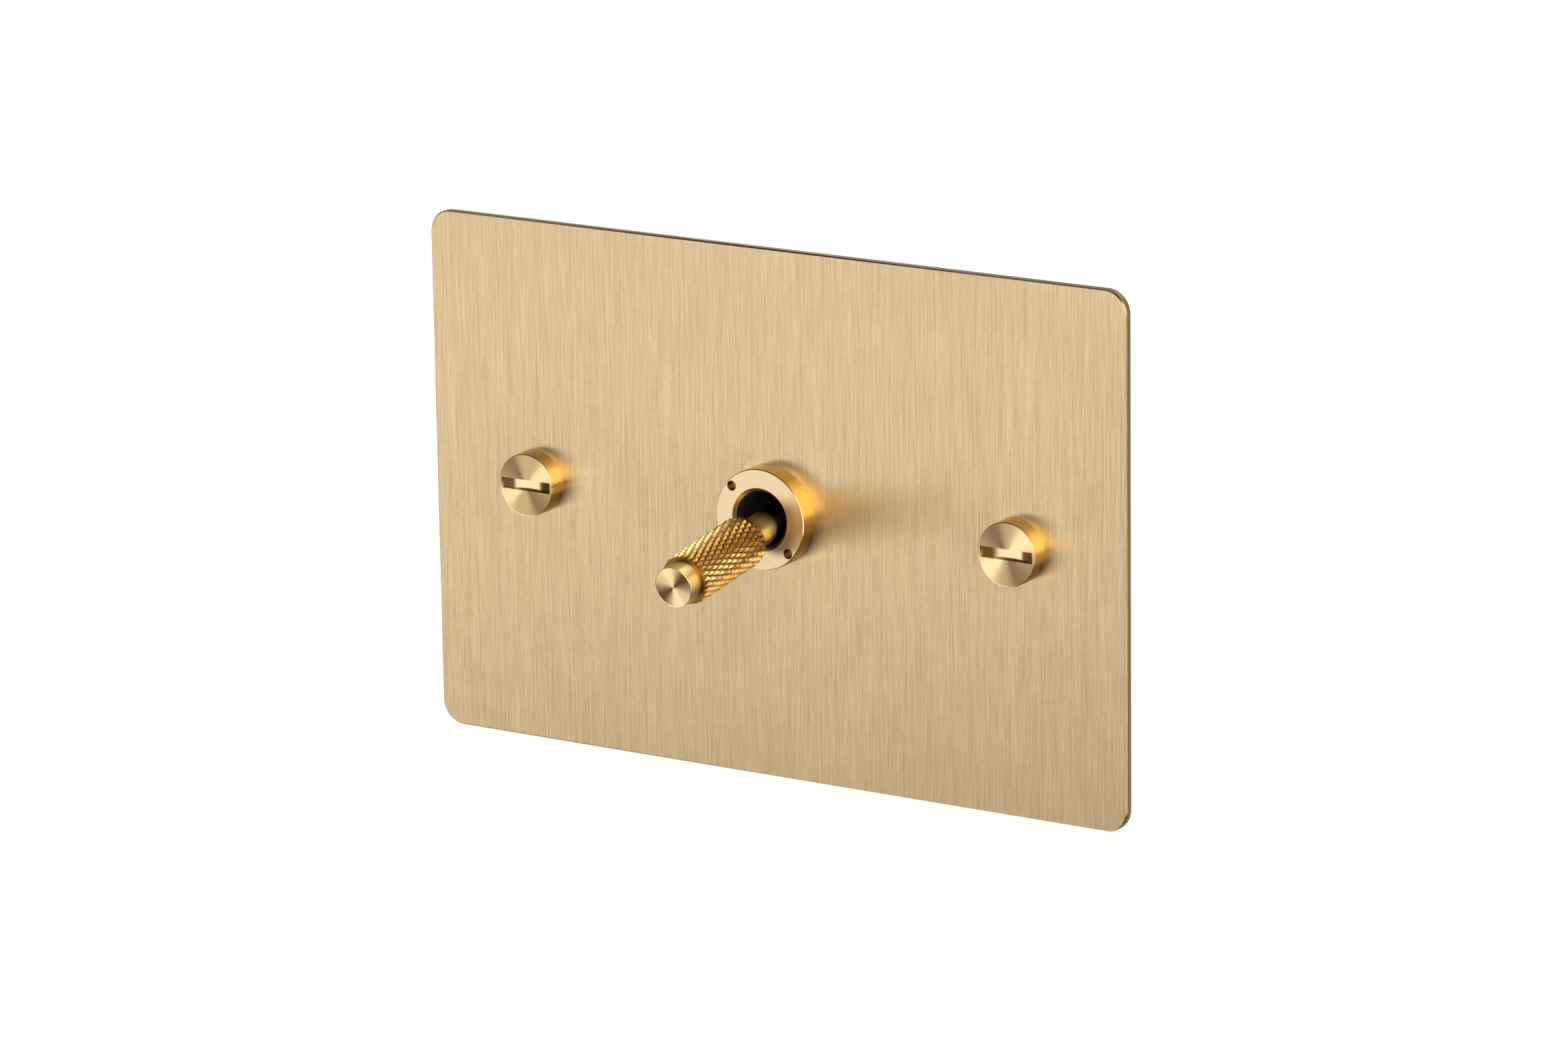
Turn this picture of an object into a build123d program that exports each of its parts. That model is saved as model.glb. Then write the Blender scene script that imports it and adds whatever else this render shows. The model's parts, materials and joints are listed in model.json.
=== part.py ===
from build123d import *
import os
from math import cos, pi, radians, sin, sqrt, tan

# Toggle light switch: a brushed metal faceplate, a knurled toggle and a two-way mechanism behind it.
# Millimetres. X runs to the right, Z up and Y into the wall. The origin is the centre of the
# faceplate's back face, on the wall, so the switch faces -Y. The toggle is modelled pointing down.

# Faceplate
plate_width = 120.0
plate_height = 80.0
plate_thickness = 1.2
plate_corner_radius = 3.5
plate_edge_bevel = 0.2
bushing_play = 0.2
screw_spacing = 83.5

# Fixing screws, with a coin slot sunk by a disc cutter: its floor is an arc, with a thin rim at both ends
head_diameter = 9.6
head_height = 2.9
head_bevel = 0.2
slot_width = 1.65
slot_rim = 0.45
slot_depth = 1.8
shank_diameter = 3.5
shank_length = 25.0
shank_point = 0.7
shank_play = 0.2
neck_diameter = 2.8
neck_stop = 0.05

# Ring nut that dresses the opening, with two spanner holes
ring_diameter = 15.2
ring_height = 3.2
ring_lip = 1.1
ring_bevel = 0.12
mouth_bevel = 0.5
spanner_hole_diameter = 1.5
spanner_hole_depth = 0.8
spanner_hole_edge = 0.2
spanner_hole_angle = 136.5

# Stack behind the faceplate: lock washer, back nut, clamp frame, bushing base
thread_diameter = 12.0
thread_lead = 0.4
lock_washer_diameter = 18.5
lock_washer_thickness = 0.6
lock_washer_teeth = 12
lock_washer_notch = 1.6
lock_washer_band = 1.2
back_nut_flats = 16.0
back_nut_thickness = 2.4
back_nut_bevel = 0.4
nut_to_frame = 1.0
frame_sheet = 1.0
pin_diameter = 2.0
pin_cover = 1.1
pin_inset = 0.3

# Lever and knurled handle
lever_throw = 16.0
stem_diameter = 4.9
ball_diameter = 7.2
tail_diameter = 4.6
tail_length = 10.0
stud_diameter = 3.0
stud_length = 8.0
stud_room = 0.6
grip_standoff = 4.0
grip_diameter = 8.0
grip_length = 16.7
grip_bevel = 0.5
knurl_count = 27
knurl_pitch = 2.45
knurl_depth = 0.38
tip_diameter = 6.2
tip_length = 2.7
tip_bevel = 0.12
tip_root = 1.0

# Plunger and its spring, in the lever's bored tail
plunger_diameter = 3.0
plunger_shank = 3.6
plunger_travel = 0.8
plunger_collar = 0.3
nose_diameter = 3.8
tail_bore_depth = 7.2
spring_wire = 0.4
spring_turns = 5

# Rocker, a bent strip that seesaws on the saddle and carries the moving contacts
rocker_sheet = 1.0
rocker_width = 6.0
rocker_bend = 14.0
rocker_swing = 20.0
rocker_margin = 1.8
contact_arm = 8.5
contact_rivet = 1.8
contact_diameter = 3.2
contact_dome = 0.9
contact_gap = 0.06
lug_diameter = 1.2
lug_overhang = 0.3
nose_gap = 0.25

# Saddle, rivets and fixed contacts
saddle_sheet = 1.0
saddle_height = 4.8
saddle_lip = 0.9
rivet_diameter = 2.5
rivet_head_diameter = 4.0
rivet_head_height = 0.6
rocker_room = 0.6
pedestal_diameter = 3.8

# Housing
cavity_side_room = 0.4
cavity_end_room = 0.8
base_ledge = 2.2
base_corner_radius = 1.5
side_wall = 7.5
end_wall = 8.0
back_wall = 3.0
housing_corner_radius = 1.5
housing_bevel = 0.5
rib_thickness = 1.2
rib_height = 4.0
rib_play = 0.4

# Clamp frame lugs, folded over the back of the housing
lug_width = 5.0
lug_inset = 6.0
lug_fold = 2.4

# Terminals at the back
strip_thickness = 1.0
strip_width = 6.0
strip_end = 3.2
strip_corner_radius = 0.8
clamp_size = 6.2
clamp_thickness = 1.0
clamp_bevel = 0.3
terminal_screw_diameter = 3.5
terminal_screw_length = 6.0
terminal_hole_room = 1.5
terminal_head_diameter = 6.2
terminal_head_height = 2.0
terminal_slot_width = 0.9
terminal_slot_depth = 1.1

# Earth terminal on the back of the faceplate
earth_x = -30.0
earth_z = -20.0
earth_block = 7.0
earth_block_height = 8.5
earth_block_bevel = 0.5
earth_wire_hole = 3.2
earth_wire_depth = 4.0
earth_screw_diameter = 3.0
earth_screw_reach = 2.6
earth_head_diameter = 5.2
earth_head_height = 1.8
earth_slot_width = 0.9
earth_slot_depth = 1.0

# Clearances: between moving neighbours, round a turning pin, and between fixed pieces
running_gap = 0.25
pin_gap = 0.05
fit_gap = 0.04

# Radii
head_radius = head_diameter / 2
shank_radius = shank_diameter / 2
neck_radius = neck_diameter / 2
ring_radius = ring_diameter / 2
thread_radius = thread_diameter / 2
pin_radius = pin_diameter / 2
stem_radius = stem_diameter / 2
ball_radius = ball_diameter / 2
tail_radius = tail_diameter / 2
stud_radius = stud_diameter / 2
grip_radius = grip_diameter / 2
tip_radius = tip_diameter / 2
plunger_radius = plunger_diameter / 2
nose_radius = nose_diameter / 2
lug_radius = lug_diameter / 2
rivet_radius = rivet_diameter / 2
rivet_head_radius = rivet_head_diameter / 2

# Depths along Y, from the front of the ring nut to the bushing base
plate_front = -plate_thickness
ring_front = plate_front - ring_height
bushing_front = ring_front + ring_lip
nut_front = lock_washer_thickness
nut_back = nut_front + back_nut_thickness
frame_front = nut_back + nut_to_frame
base_front = frame_front + frame_sheet
pivot_depth = base_front + pin_cover + pin_radius
base_back = pivot_depth + pin_radius + pin_cover

# Lever: its axis leans down by half the throw, and its opening is cut to the cone that it sweeps
tilt = radians(lever_throw / 2)
pivot = Vector(0, pivot_depth, 0)
outward = Vector(0, -cos(tilt), -sin(tilt))
lever_axis = Axis(pivot, outward)
lever_plane = Plane(origin=pivot, x_dir=(1, 0, 0), z_dir=outward)
lever_section = Plane(origin=pivot, x_dir=(1, 0, 0), z_dir=(0, sin(tilt), -cos(tilt)))
grip_start = (pivot_depth - ring_front + grip_standoff) / cos(tilt)
grip_end = grip_start + grip_length
tip_face = grip_end + tip_length


def sweep_radius(depth):
    """Radius that the leaning stem needs at a depth, with its running gap."""
    return (pivot_depth - depth) * tan(tilt) + stem_radius / cos(tilt) + running_gap


mouth_depth = ring_front + mouth_bevel
mouth_radius = sweep_radius(mouth_depth)
ball_seat = pivot_depth - ball_radius - running_gap
ball_bore_radius = ball_radius + running_gap

# Plunger stations, measured from the pivot towards the back
bore_bottom = tail_length - tail_bore_depth
nose_start = tail_length + plunger_travel + running_gap
nose_center = nose_start + plunger_collar
shank_front = tail_length - plunger_shank
spring_length = shank_front - bore_bottom
spring_radius = plunger_radius - spring_wire

# Rocker: placed so that its upper wing lies one nose gap behind the plunger at rest
bend = radians(rocker_bend)
swing = radians(rocker_swing / 2)
wing_lean = bend - swing
crease = rocker_sheet / 2 / cos(bend)
nose_depth = pivot_depth + nose_center * cos(tilt)
nose_rise = nose_center * sin(tilt)
crease_reach = nose_radius + nose_gap - (crease * sin(swing) - nose_rise) * sin(wing_lean)
fulcrum_depth = nose_depth + crease * cos(swing) + crease_reach / cos(wing_lean)
wing_length = contact_arm + rocker_margin
rocker_plane = Plane(origin=(0, fulcrum_depth, 0), x_dir=(0, cos(swing), -sin(swing)), z_dir=(1, 0, 0))

# Contacts: the fixed ones stand where the upper dome arrives at rest
dome_height = rocker_sheet / 2 + contact_dome
contact_face = fulcrum_depth - contact_arm * sin(wing_lean) + dome_height * cos(wing_lean) + contact_gap
contact_rise = contact_arm * cos(wing_lean) + dome_height * sin(wing_lean)

# Saddle and housing, outwards from the fulcrum
saddle_rivet_front = fulcrum_depth + crease + rocker_room
saddle_front = saddle_rivet_front + rivet_head_height
floor_depth = saddle_front + saddle_sheet
housing_back = floor_depth + back_wall
cheek_inner = rocker_width / 2 + running_gap
cheek_outer = cheek_inner + saddle_sheet
cavity_half_width = cheek_outer + lug_overhang + cavity_side_room
cavity_half_height = wing_length + cavity_end_room
base_half_width = cavity_half_width + base_ledge
base_half_height = cavity_half_height + base_ledge
housing_half_width = cavity_half_width + side_wall
housing_half_height = cavity_half_height + end_wall

# Terminals, from the back of the housing outwards
strip_back = housing_back + strip_thickness
rivet_tail = strip_back + rivet_head_height
clamp_back = strip_back + clamp_thickness
terminal_head_back = clamp_back + terminal_head_height
common_screw_x = cavity_half_width + side_wall / 2
line_screw_z = cavity_half_height + end_wall / 2
terminal_places = [(common_screw_x, 0), (0, line_screw_z), (0, -line_screw_z)]


def at_depth(depth):
    """Plane parallel to the wall at a depth, facing the room, with X right and Z up."""
    return Plane.XZ.offset(-depth)


def wing_plane(side):
    """Plane on a wing of the rocker at its contact, facing the back. Side is 1 for up, -1 for down."""
    along = Vector(-sin(bend), side * cos(bend), 0)
    place = rocker_plane.from_local_coords(along * contact_arm)
    back = rocker_plane.from_local_coords(Vector(cos(bend), side * sin(bend), 0)) - rocker_plane.origin
    return Plane(origin=place, x_dir=(1, 0, 0), z_dir=back)


def knurled_barrel():
    """Barrel of pyramids. Each ring is a star of crests and hollows, half a step round from the next."""
    hollow_radius = grip_radius - knurl_depth
    end_radius = grip_radius - grip_bevel
    steps = 2 * knurl_count
    rows = max(2, round((grip_length - 2 * grip_bevel) / (knurl_pitch / 2)))
    row_height = (grip_length - 2 * grip_bevel) / rows

    def ring(station, even_radius, odd_radius):
        points = []
        for step in range(steps):
            radius = even_radius if step % 2 == 0 else odd_radius
            angle = 2 * pi * step / steps
            local = Vector(radius * cos(angle), radius * sin(angle), station)
            points.append(lever_plane.from_local_coords(local))
        return points

    rings = [ring(grip_start, end_radius, end_radius)]
    for row in range(rows + 1):
        radii = (grip_radius, hollow_radius) if row % 2 == 0 else (hollow_radius, grip_radius)
        rings.append(ring(grip_start + grip_bevel + row * row_height, *radii))
    rings.append(ring(grip_end, end_radius, end_radius))

    faces = [Face(Wire.make_polygon(rings[0])), Face(Wire.make_polygon(rings[-1]))]
    for index in range(len(rings) - 1):
        low, high = rings[index], rings[index + 1]
        for step in range(steps):
            after = (step + 1) % steps
            corners = [low[step], low[after], high[after], high[step]]
            # Each patch folds along the groove that joins its two hollows
            if (index + step) % 2 == 0:
                corners = corners[1:] + corners[:1]
            faces.append(Face(Wire.make_polygon(corners[:3])))
            faces.append(Face(Wire.make_polygon([corners[0], corners[2], corners[3]])))
    return Solid(Shell(faces))


# Faceplate
with BuildPart() as faceplate:
    with BuildSketch(at_depth(0)):
        RectangleRounded(plate_width, plate_height, plate_corner_radius)
        Circle(thread_radius + bushing_play, mode=Mode.SUBTRACT)
        with GridLocations(screw_spacing, 0, 2, 1):
            Circle(shank_radius + shank_play, mode=Mode.SUBTRACT)
    extrude(amount=plate_thickness)
    front_face = faceplate.faces().sort_by(Axis.Y)[0]
    chamfer(front_face.outer_wire().edges(), plate_edge_bevel)

# Two fixing screws, each with a relieved neck that sits in the faceplate
with BuildPart() as fixing_screws:
    head_face = plate_front - head_height
    neck_end = -neck_stop - (shank_radius - neck_radius)
    shank_end = plate_front + shank_length
    for side in (-1, 1):
        screw_origin = (side * screw_spacing / 2, 0, 0)
        with BuildSketch(Plane(origin=screw_origin)):
            with BuildLine():
                Polyline(
                    (0, head_face),
                    (head_radius - head_bevel, head_face),
                    (head_radius, head_face + head_bevel),
                    (head_radius, plate_front),
                    (neck_radius, plate_front),
                    (neck_radius, neck_end),
                    (shank_radius, -neck_stop),
                    (shank_radius, shank_end - shank_point),
                    (shank_radius - shank_point, shank_end),
                    (0, shank_end),
                    close=True,
                )
            make_face()
        revolve(axis=Axis(screw_origin, (0, 1, 0)))
    slot_reach = head_radius - slot_rim
    cutter_radius = (slot_reach**2 + slot_depth**2) / (2 * slot_depth)
    cutter_axis = head_face + slot_depth - cutter_radius
    with BuildSketch(Plane(origin=(0, cutter_axis, 0))):
        with GridLocations(screw_spacing, 0, 2, 1):
            Circle(cutter_radius)
    extrude(amount=slot_width / 2, both=True, mode=Mode.SUBTRACT)

# Ring nut
with BuildPart() as ring_nut:
    thread_bore = thread_radius + fit_gap
    with BuildSketch(Plane.XY):
        with BuildLine():
            Polyline(
                (mouth_radius, mouth_depth),
                (mouth_radius + mouth_bevel, ring_front),
                (ring_radius - ring_bevel, ring_front),
                (ring_radius, ring_front + ring_bevel),
                (ring_radius, plate_front),
                (thread_bore, plate_front),
                (thread_bore, bushing_front),
                (mouth_radius, bushing_front),
                close=True,
            )
        make_face()
    revolve(axis=Axis.Y)
    spanner_radius = spanner_hole_diameter / 2
    with BuildSketch(at_depth(ring_front)):
        with PolarLocations(ring_radius - spanner_hole_edge - spanner_radius, 2, spanner_hole_angle):
            Circle(spanner_radius)
    extrude(amount=-spanner_hole_depth, mode=Mode.SUBTRACT)

# Bushing: threaded tube on a rectangular base, bored out to the lever's sweep
with BuildPart() as bushing:
    with BuildSketch(at_depth(base_back)):
        RectangleRounded(2 * base_half_width, 2 * base_half_height, base_corner_radius)
    extrude(amount=base_back - base_front)
    with BuildSketch(at_depth(base_front)):
        Circle(thread_radius)
    extrude(amount=base_front - bushing_front)
    tube_rim = bushing.faces().sort_by(Axis.Y)[0].outer_wire().edges()
    chamfer(tube_rim, thread_lead)
    with BuildSketch(at_depth(base_back)):
        Circle(ball_bore_radius)
    extrude(amount=base_back - ball_seat, mode=Mode.SUBTRACT)
    with BuildSketch(Plane.XY):
        with BuildLine():
            Polyline(
                (0, bushing_front),
                (sweep_radius(bushing_front), bushing_front),
                (sweep_radius(ball_seat), ball_seat),
                (0, ball_seat),
                close=True,
            )
        make_face()
    revolve(axis=Axis.Y, mode=Mode.SUBTRACT)
    with BuildSketch(Plane.YZ):
        with Locations((pivot_depth, 0)):
            Circle(pin_radius + fit_gap)
    extrude(amount=base_half_width, both=True, mode=Mode.SUBTRACT)

# Lock washer with outer teeth
with BuildPart() as lock_washer:
    washer_radius = lock_washer_diameter / 2
    washer_band_radius = thread_radius + fit_gap + lock_washer_band
    notch_length = washer_radius - washer_band_radius
    with BuildSketch(at_depth(nut_front)):
        Circle(washer_radius)
        Circle(thread_radius + fit_gap, mode=Mode.SUBTRACT)
        with PolarLocations(washer_band_radius + notch_length, lock_washer_teeth):
            Rectangle(2 * notch_length, lock_washer_notch, mode=Mode.SUBTRACT)
    extrude(amount=lock_washer_thickness)

# Back nut
with BuildPart() as back_nut:
    with BuildSketch(at_depth(nut_back)):
        RegularPolygon(back_nut_flats / 2, 6, major_radius=False)
        Circle(thread_radius + fit_gap, mode=Mode.SUBTRACT)
    extrude(amount=back_nut_thickness)
    nut_rim = back_nut.faces().sort_by(Axis.Y)[-1].outer_wire().edges()
    chamfer(nut_rim, back_nut_bevel)

# Pivot pin
with BuildPart() as pivot_pin:
    with BuildSketch(Plane.YZ):
        with Locations((pivot_depth, 0)):
            Circle(pin_radius)
    extrude(amount=base_half_width - pin_inset, both=True)

# Lever: threaded stud, stem, ball on the pivot pin and bored tail
with BuildPart() as lever:
    with BuildSketch(lever_section):
        with BuildLine():
            ball_tail = -sqrt(ball_radius**2 - tail_radius**2)
            ball_stem = sqrt(ball_radius**2 - stem_radius**2)
            Polyline((0, -tail_length), (tail_radius, -tail_length), (tail_radius, ball_tail))
            ThreePointArc((tail_radius, ball_tail), (ball_radius, 0), (stem_radius, ball_stem))
            Polyline(
                (stem_radius, ball_stem),
                (stem_radius, grip_start),
                (stud_radius, grip_start),
                (stud_radius, grip_start + stud_length),
                (0, grip_start + stud_length),
                (0, -tail_length),
            )
        make_face()
    revolve(axis=lever_axis)
    with BuildSketch(lever_plane.offset(-tail_length)):
        Circle(plunger_radius + pin_gap)
    extrude(amount=tail_bore_depth, mode=Mode.SUBTRACT)
    with BuildSketch(Plane.YZ):
        with Locations((pivot_depth, 0)):
            Circle(pin_radius + pin_gap)
    extrude(amount=ball_radius, both=True, mode=Mode.SUBTRACT)

# Handle: knurled grip and plain tip, turned from one bar and screwed on the lever's stud
with BuildPart() as toggle_handle:
    add(knurled_barrel())
    with BuildSketch(lever_section):
        with BuildLine():
            Polyline(
                (0, grip_end - tip_root),
                (tip_radius, grip_end - tip_root),
                (tip_radius, tip_face - tip_bevel),
                (tip_radius - tip_bevel, tip_face),
                (0, tip_face),
                close=True,
            )
        make_face()
    revolve(axis=lever_axis)
    with BuildSketch(lever_plane.offset(grip_start)):
        Circle(stud_radius + fit_gap)
    extrude(amount=stud_length + stud_room, mode=Mode.SUBTRACT)

# Plunger with a round nose
with BuildPart() as plunger:
    with BuildSketch(lever_section):
        with BuildLine():
            nose_side = nose_radius * sin(pi / 4)
            Polyline(
                (0, -nose_center - nose_radius),
                (0, -shank_front),
                (plunger_radius, -shank_front),
                (plunger_radius, -nose_start),
                (nose_radius, -nose_start),
                (nose_radius, -nose_center),
            )
            ThreePointArc(
                (nose_radius, -nose_center),
                (nose_side, -nose_center - nose_side),
                (0, -nose_center - nose_radius),
            )
        make_face()
    revolve(axis=lever_axis)

# Plunger spring
with BuildPart() as plunger_spring:
    coil_height = spring_length - spring_wire - 2 * fit_gap
    coil_start = pivot - outward * (shank_front - fit_gap - spring_wire / 2)
    with BuildLine() as coil:
        Helix(coil_height / spring_turns, coil_height, spring_radius, center=coil_start, direction=outward)
    with BuildSketch(Plane(origin=coil.line @ 0, z_dir=coil.line % 0)):
        Circle(spring_wire / 2)
    sweep(path=coil.line, is_frenet=True)

# Rocker
with BuildPart() as rocker:
    with BuildSketch(rocker_plane):
        wing_tip = Vector(-wing_length * sin(bend), wing_length * cos(bend), 0)
        half_sheet = Vector(cos(bend), sin(bend), 0) * (rocker_sheet / 2)
        with BuildLine():
            Polyline((-crease, 0), wing_tip - half_sheet, wing_tip + half_sheet, (crease, 0))
            mirror(about=Plane.XZ)
        make_face()
    extrude(amount=rocker_width / 2, both=True)
    with BuildSketch(rocker_plane.offset(rocker_width / 2)):
        Circle(lug_radius)
    extrude(amount=cheek_outer + lug_overhang - rocker_width / 2)
    with BuildSketch(rocker_plane.offset(-rocker_width / 2)):
        Circle(lug_radius)
    extrude(amount=-(cheek_outer + lug_overhang - rocker_width / 2))
    for side in (1, -1):
        with BuildSketch(wing_plane(side)):
            Circle(contact_rivet / 2 + fit_gap)
        extrude(amount=rocker_sheet, both=True, mode=Mode.SUBTRACT)

# Moving contacts, riveted through the rocker's wings
with BuildPart() as rocker_contacts:
    for side in (1, -1):
        wing = wing_plane(side)
        dome_side = contact_diameter / 2
        with BuildSketch(Plane(origin=wing.origin, x_dir=wing.x_dir, z_dir=-wing.y_dir)):
            with BuildLine():
                Polyline(
                    (0, dome_height),
                    (0, -rocker_sheet / 2),
                    (contact_rivet / 2, -rocker_sheet / 2),
                    (contact_rivet / 2, rocker_sheet / 2),
                    (dome_side, rocker_sheet / 2),
                )
                dome_bulge = (dome_side**2 + contact_dome**2) / (2 * contact_dome)
                RadiusArc((dome_side, rocker_sheet / 2), (0, dome_height), -dome_bulge)
            make_face()
        revolve(axis=Axis(wing.origin, wing.z_dir))

# Saddle: two notched cheeks on a base, the common side of the circuit
with BuildPart() as contact_saddle:
    with BuildSketch(at_depth(floor_depth)):
        Rectangle(2 * cheek_outer, saddle_height)
        Circle(rivet_radius + fit_gap, mode=Mode.SUBTRACT)
    extrude(amount=saddle_sheet)
    cheek_front = fulcrum_depth - saddle_lip
    notch_radius = lug_radius + pin_gap
    with BuildSketch(Plane.YZ.offset(cheek_inner)):
        with Locations(((cheek_front + floor_depth) / 2, 0)):
            Rectangle(floor_depth - cheek_front, saddle_height)
        with Locations((fulcrum_depth, 0)):
            Circle(notch_radius, mode=Mode.SUBTRACT)
        with Locations((fulcrum_depth - saddle_lip, 0)):
            Rectangle(2 * saddle_lip, 2 * notch_radius, mode=Mode.SUBTRACT)
    extrude(amount=saddle_sheet)
    mirror(about=Plane.YZ)


def rivet_profile(front, front_radius, seat):
    """Half section of a rivet: a head from front to seat, a shank, and a tail upset on the strip."""
    Polyline(
        (0, front),
        (front_radius, front),
        (front_radius, seat),
        (rivet_radius, seat),
        (rivet_radius, strip_back),
        (rivet_head_radius, strip_back),
        (rivet_head_radius, rivet_tail),
        (0, rivet_tail),
        close=True,
    )


# Rivet that holds the saddle and the common terminal
with BuildPart() as saddle_rivet:
    with BuildSketch(Plane.XY):
        with BuildLine():
            rivet_profile(saddle_rivet_front, rivet_head_radius, saddle_front)
        make_face()
    revolve(axis=Axis.Y)

# Fixed contacts, riveted through the back wall to the line terminals
with BuildPart() as fixed_contacts:
    for side in (1, -1):
        contact_origin = (0, 0, side * contact_rise)
        with BuildSketch(Plane(origin=contact_origin)):
            with BuildLine():
                rivet_profile(contact_face, pedestal_diameter / 2, floor_depth)
            make_face()
        revolve(axis=Axis(contact_origin, (0, 1, 0)))

# Housing: open at the front for the bushing base, with barrier ribs at the back
with BuildPart() as housing:
    with BuildSketch(at_depth(housing_back)):
        RectangleRounded(2 * housing_half_width, 2 * housing_half_height, housing_corner_radius)
    extrude(amount=housing_back - base_front)
    back_rim = housing.faces().sort_by(Axis.Y)[-1].outer_wire().edges()
    chamfer(back_rim, housing_bevel)
    rib_center = strip_width / 2 + rib_play + rib_thickness / 2
    with BuildSketch(at_depth(housing_back + rib_height)):
        with GridLocations(0, 2 * rib_center, 1, 2):
            Rectangle(2 * (housing_half_width - housing_bevel), rib_thickness)
    extrude(amount=rib_height)
    with BuildSketch(at_depth(base_back)):
        RectangleRounded(
            2 * (base_half_width + fit_gap), 2 * (base_half_height + fit_gap), base_corner_radius + fit_gap
        )
    extrude(amount=base_back - base_front, mode=Mode.SUBTRACT)
    with BuildSketch(at_depth(floor_depth)):
        Rectangle(2 * cavity_half_width, 2 * cavity_half_height)
    extrude(amount=floor_depth - base_back, mode=Mode.SUBTRACT)
    with BuildSketch(at_depth(housing_back)):
        Circle(rivet_radius + fit_gap)
        with GridLocations(0, 2 * contact_rise, 1, 2):
            Circle(rivet_radius + fit_gap)
    extrude(amount=back_wall, mode=Mode.SUBTRACT)
    screw_sink = terminal_screw_length - clamp_thickness - strip_thickness
    with BuildSketch(at_depth(housing_back)):
        with Locations(*terminal_places):
            Circle(terminal_screw_diameter / 2 + fit_gap)
    extrude(amount=screw_sink + terminal_hole_room, mode=Mode.SUBTRACT)

# Clamp frame: front plate and four lugs folded over the back of the housing
with BuildPart() as clamp_frame:
    with BuildSketch(at_depth(base_front)):
        RectangleRounded(2 * housing_half_width, 2 * housing_half_height, housing_corner_radius)
        Circle(thread_radius + fit_gap, mode=Mode.SUBTRACT)
    extrude(amount=frame_sheet)
    lug_inner = housing_half_width + fit_gap
    lug_outer = lug_inner + frame_sheet
    fold_front = housing_back + fit_gap
    fold_back = fold_front + frame_sheet
    lug_height = housing_half_height - lug_inset - lug_width / 2
    for side in (1, -1):
        with BuildSketch(Plane.XY.offset(side * lug_height)) as lug_section:
            with BuildLine():
                Polyline(
                    (housing_half_width - frame_sheet, frame_front),
                    (lug_outer, frame_front),
                    (lug_outer, fold_back),
                    (lug_outer - lug_fold, fold_back),
                    (lug_outer - lug_fold, fold_front),
                    (lug_inner, fold_front),
                    (lug_inner, base_front),
                    (housing_half_width - frame_sheet, base_front),
                    close=True,
                )
            make_face()
            fillet(lug_section.vertices().group_by(Axis.X)[-1], frame_sheet)
        extrude(amount=lug_width / 2, both=True)
    mirror(about=Plane.YZ)

# Line terminal of the upper contact
with BuildPart() as upper_terminal:
    strip_low = contact_rise - strip_width / 2
    strip_high = line_screw_z + strip_end
    with BuildSketch(at_depth(strip_back)):
        with Locations((0, (strip_low + strip_high) / 2)):
            RectangleRounded(strip_width, strip_high - strip_low, strip_corner_radius)
        with Locations((0, contact_rise)):
            Circle(rivet_radius + fit_gap, mode=Mode.SUBTRACT)
        with Locations((0, line_screw_z)):
            Circle(terminal_screw_diameter / 2 + fit_gap, mode=Mode.SUBTRACT)
    extrude(amount=strip_thickness)

# Line terminal of the lower contact
with BuildPart() as lower_terminal:
    mirror(upper_terminal.part, about=Plane.XY)

# Common terminal, under the saddle's rivet
with BuildPart() as common_terminal:
    strip_left = -strip_width / 2
    strip_right = common_screw_x + strip_end
    with BuildSketch(at_depth(strip_back)):
        with Locations(((strip_left + strip_right) / 2, 0)):
            RectangleRounded(strip_right - strip_left, strip_width, strip_corner_radius)
        Circle(rivet_radius + fit_gap, mode=Mode.SUBTRACT)
        with Locations((common_screw_x, 0)):
            Circle(terminal_screw_diameter / 2 + fit_gap, mode=Mode.SUBTRACT)
    extrude(amount=strip_thickness)

# Square wire clamps under the terminal screws
with BuildPart() as wire_clamps:
    with BuildSketch(at_depth(clamp_back)):
        with Locations(*terminal_places):
            Rectangle(clamp_size, clamp_size)
            Circle(terminal_screw_diameter / 2 + fit_gap, mode=Mode.SUBTRACT)
    extrude(amount=clamp_thickness)
    for clamp_face in wire_clamps.faces().group_by(Axis.Y)[-1]:
        chamfer(clamp_face.outer_wire().edges(), clamp_bevel)

# Terminal screws
with BuildPart() as terminal_screws:
    with BuildSketch(at_depth(terminal_head_back)):
        with Locations(*terminal_places):
            Circle(terminal_head_diameter / 2)
    extrude(amount=terminal_head_height)
    with BuildSketch(at_depth(clamp_back)):
        with Locations(*terminal_places):
            Circle(terminal_screw_diameter / 2)
    extrude(amount=terminal_screw_length)
    with BuildSketch(at_depth(terminal_head_back)):
        with Locations(*terminal_places):
            Rectangle(terminal_head_diameter, terminal_slot_width)
    extrude(amount=terminal_slot_depth, mode=Mode.SUBTRACT)

# Earth terminal block on the back of the faceplate
with BuildPart() as earth_terminal:
    with BuildSketch(at_depth(earth_block_height)):
        with Locations((earth_x, earth_z)):
            Rectangle(earth_block, earth_block)
    extrude(amount=earth_block_height)
    chamfer(earth_terminal.faces().sort_by(Axis.Y)[-1].edges(), earth_block_bevel)
    with BuildSketch(Plane.YZ.offset(earth_x)):
        with Locations((earth_wire_depth, earth_z)):
            Circle(earth_wire_hole / 2)
    extrude(amount=earth_block / 2, both=True, mode=Mode.SUBTRACT)
    with BuildSketch(at_depth(earth_block_height)):
        with Locations((earth_x, earth_z)):
            Circle(earth_screw_diameter / 2 + fit_gap)
    extrude(amount=earth_block_height - earth_wire_depth, mode=Mode.SUBTRACT)

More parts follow.
